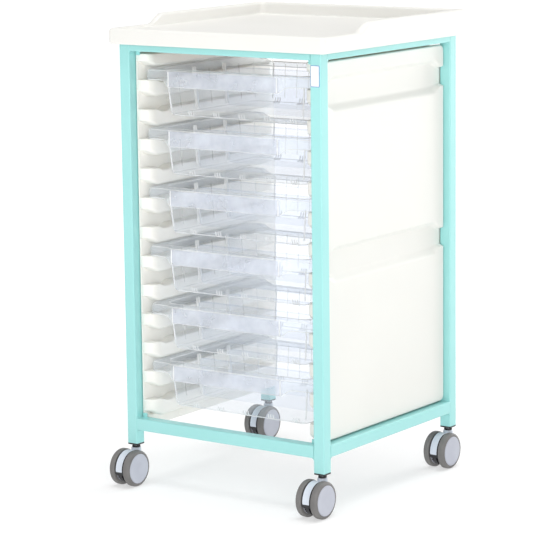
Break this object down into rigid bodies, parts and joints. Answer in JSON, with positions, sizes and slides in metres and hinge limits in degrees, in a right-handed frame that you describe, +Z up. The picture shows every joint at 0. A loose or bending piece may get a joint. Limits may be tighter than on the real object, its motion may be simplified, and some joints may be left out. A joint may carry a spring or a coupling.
{
  "type": "bedside cabinet",
  "caption": "Mobile ward cabinet: square-tube frame, moulded worktop with raised rim, slotted side liners and clear pull-out trays on twin-wheel castors.",
  "frame": {"origin": "centre of the bounding box in plan, at the floor under the castors", "axes": "+Z up; -Y is the front, where the trays pull out; +X is the right-hand side seen from the front"},
  "size_m": [0.524, 0.562, 0.962],
  "materials": {
    "frame_paint": "gloss powder coat",
    "white_plastic": "smooth moulded",
    "liner_plastic": "satin moulded",
    "clear_plastic": "clear moulded",
    "tyre_grey": "soft grey tread",
    "castor_grey": "satin moulded",
    "black_plastic": "satin moulded",
    "plated_steel": "zinc plated",
    "core_board": "raw particle board",
    "label_film": "printed film"
  },
  "bodies": {
    "cabinet": {"frame_posts": "frame_paint", "frame_top_rail_front": "frame_paint", "frame_top_rail_rear": "frame_paint", "frame_top_rails_side": "frame_paint", "frame_bottom_rail_front": "frame_paint", "frame_bottom_rails_side": "frame_paint", "liner_stop_tabs": "frame_paint", "post_end_inserts": "black_plastic", "castor_stems": "plated_steel", "castor_bearing_rings": "black_plastic", "worktop_shell": "white_plastic", "worktop_core": "core_board", "worktop_screws": "plated_steel", "side_panel_left": "white_plastic", "side_panel_right": "white_plastic", "runner_liner_left": "liner_plastic", "runner_liner_right": "liner_plastic", "panel_screws": "plated_steel", "blank_label": "label_film"},
    "drawer_1": {"tray_1": "clear_plastic", "tray_1_dividers": "clear_plastic"},
    "drawer_2": {"tray_2": "clear_plastic", "tray_2_dividers": "clear_plastic"},
    "drawer_3": {"tray_3": "clear_plastic", "tray_3_dividers": "clear_plastic"},
    "drawer_4": {"tray_4": "clear_plastic", "tray_4_dividers": "clear_plastic"},
    "drawer_5": {"tray_5": "clear_plastic", "tray_5_dividers": "clear_plastic"},
    "drawer_6": {"tray_6": "clear_plastic", "tray_6_dividers": "clear_plastic"},
    "castor_front_left": {"castor_front_left_body": "black_plastic", "castor_front_left_hood": "castor_grey", "castor_front_left_axle": "plated_steel"},
    "castor_front_left_left_wheel": {"castor_front_left_left_hub": "castor_grey", "castor_front_left_left_tyre": "tyre_grey"},
    "castor_front_left_right_wheel": {"castor_front_left_right_hub": "castor_grey", "castor_front_left_right_tyre": "tyre_grey"},
    "castor_front_right": {"castor_front_right_body": "black_plastic", "castor_front_right_hood": "castor_grey", "castor_front_right_axle": "plated_steel"},
    "castor_front_right_left_wheel": {"castor_front_right_left_hub": "castor_grey", "castor_front_right_left_tyre": "tyre_grey"},
    "castor_front_right_right_wheel": {"castor_front_right_right_hub": "castor_grey", "castor_front_right_right_tyre": "tyre_grey"},
    "castor_rear_left": {"castor_rear_left_body": "black_plastic", "castor_rear_left_hood": "castor_grey", "castor_rear_left_axle": "plated_steel"},
    "castor_rear_left_left_wheel": {"castor_rear_left_left_hub": "castor_grey", "castor_rear_left_left_tyre": "tyre_grey"},
    "castor_rear_left_right_wheel": {"castor_rear_left_right_hub": "castor_grey", "castor_rear_left_right_tyre": "tyre_grey"},
    "castor_rear_right": {"castor_rear_right_body": "black_plastic", "castor_rear_right_hood": "castor_grey", "castor_rear_right_axle": "plated_steel"},
    "castor_rear_right_left_wheel": {"castor_rear_right_left_hub": "castor_grey", "castor_rear_right_left_tyre": "tyre_grey"},
    "castor_rear_right_right_wheel": {"castor_rear_right_right_hub": "castor_grey", "castor_rear_right_right_tyre": "tyre_grey"}
  },
  "joints": [
    {"name": "drawer_1_slide", "type": "slide", "parent": "cabinet", "child": "drawer_1", "axis": [0, -1, 0], "range_m": [0, 0.3]},
    {"name": "drawer_2_slide", "type": "slide", "parent": "cabinet", "child": "drawer_2", "axis": [0, -1, 0], "range_m": [0, 0.3]},
    {"name": "drawer_3_slide", "type": "slide", "parent": "cabinet", "child": "drawer_3", "axis": [0, -1, 0], "range_m": [0, 0.3]},
    {"name": "drawer_4_slide", "type": "slide", "parent": "cabinet", "child": "drawer_4", "axis": [0, -1, 0], "range_m": [0, 0.3]},
    {"name": "drawer_5_slide", "type": "slide", "parent": "cabinet", "child": "drawer_5", "axis": [0, -1, 0], "range_m": [0, 0.3]},
    {"name": "drawer_6_slide", "type": "slide", "parent": "cabinet", "child": "drawer_6", "axis": [0, -1, 0], "range_m": [0, 0.3]},
    {"name": "castor_front_left_swivel", "type": "hinge", "parent": "cabinet", "child": "castor_front_left", "pos_m": [-0.2325, -0.2195, 0.0633], "axis": [0, 0, 1], "continuous": true},
    {"name": "castor_front_left_left_roll", "type": "hinge", "parent": "castor_front_left", "child": "castor_front_left_left_wheel", "pos_m": [-0.251, -0.2435, 0.0375], "axis": [1, 0, 0], "continuous": true},
    {"name": "castor_front_left_right_roll", "type": "hinge", "parent": "castor_front_left", "child": "castor_front_left_right_wheel", "pos_m": [-0.214, -0.2435, 0.0375], "axis": [1, 0, 0], "continuous": true},
    {"name": "castor_front_right_swivel", "type": "hinge", "parent": "cabinet", "child": "castor_front_right", "pos_m": [0.2325, -0.2195, 0.0633], "axis": [0, 0, 1], "continuous": true},
    {"name": "castor_front_right_left_roll", "type": "hinge", "parent": "castor_front_right", "child": "castor_front_right_left_wheel", "pos_m": [0.214, -0.2435, 0.0375], "axis": [1, 0, 0], "continuous": true},
    {"name": "castor_front_right_right_roll", "type": "hinge", "parent": "castor_front_right", "child": "castor_front_right_right_wheel", "pos_m": [0.251, -0.2435, 0.0375], "axis": [1, 0, 0], "continuous": true},
    {"name": "castor_rear_left_swivel", "type": "hinge", "parent": "cabinet", "child": "castor_rear_left", "pos_m": [-0.2325, 0.2535, 0.0633], "axis": [0, 0, 1], "continuous": true},
    {"name": "castor_rear_left_left_roll", "type": "hinge", "parent": "castor_rear_left", "child": "castor_rear_left_left_wheel", "pos_m": [-0.251, 0.2295, 0.0375], "axis": [1, 0, 0], "continuous": true},
    {"name": "castor_rear_left_right_roll", "type": "hinge", "parent": "castor_rear_left", "child": "castor_rear_left_right_wheel", "pos_m": [-0.214, 0.2295, 0.0375], "axis": [1, 0, 0], "continuous": true},
    {"name": "castor_rear_right_swivel", "type": "hinge", "parent": "cabinet", "child": "castor_rear_right", "pos_m": [0.2325, 0.2535, 0.0633], "axis": [0, 0, 1], "continuous": true},
    {"name": "castor_rear_right_left_roll", "type": "hinge", "parent": "castor_rear_right", "child": "castor_rear_right_left_wheel", "pos_m": [0.214, 0.2295, 0.0375], "axis": [1, 0, 0], "continuous": true},
    {"name": "castor_rear_right_right_roll", "type": "hinge", "parent": "castor_rear_right", "child": "castor_rear_right_right_wheel", "pos_m": [0.251, 0.2295, 0.0375], "axis": [1, 0, 0], "continuous": true}
  ]
}
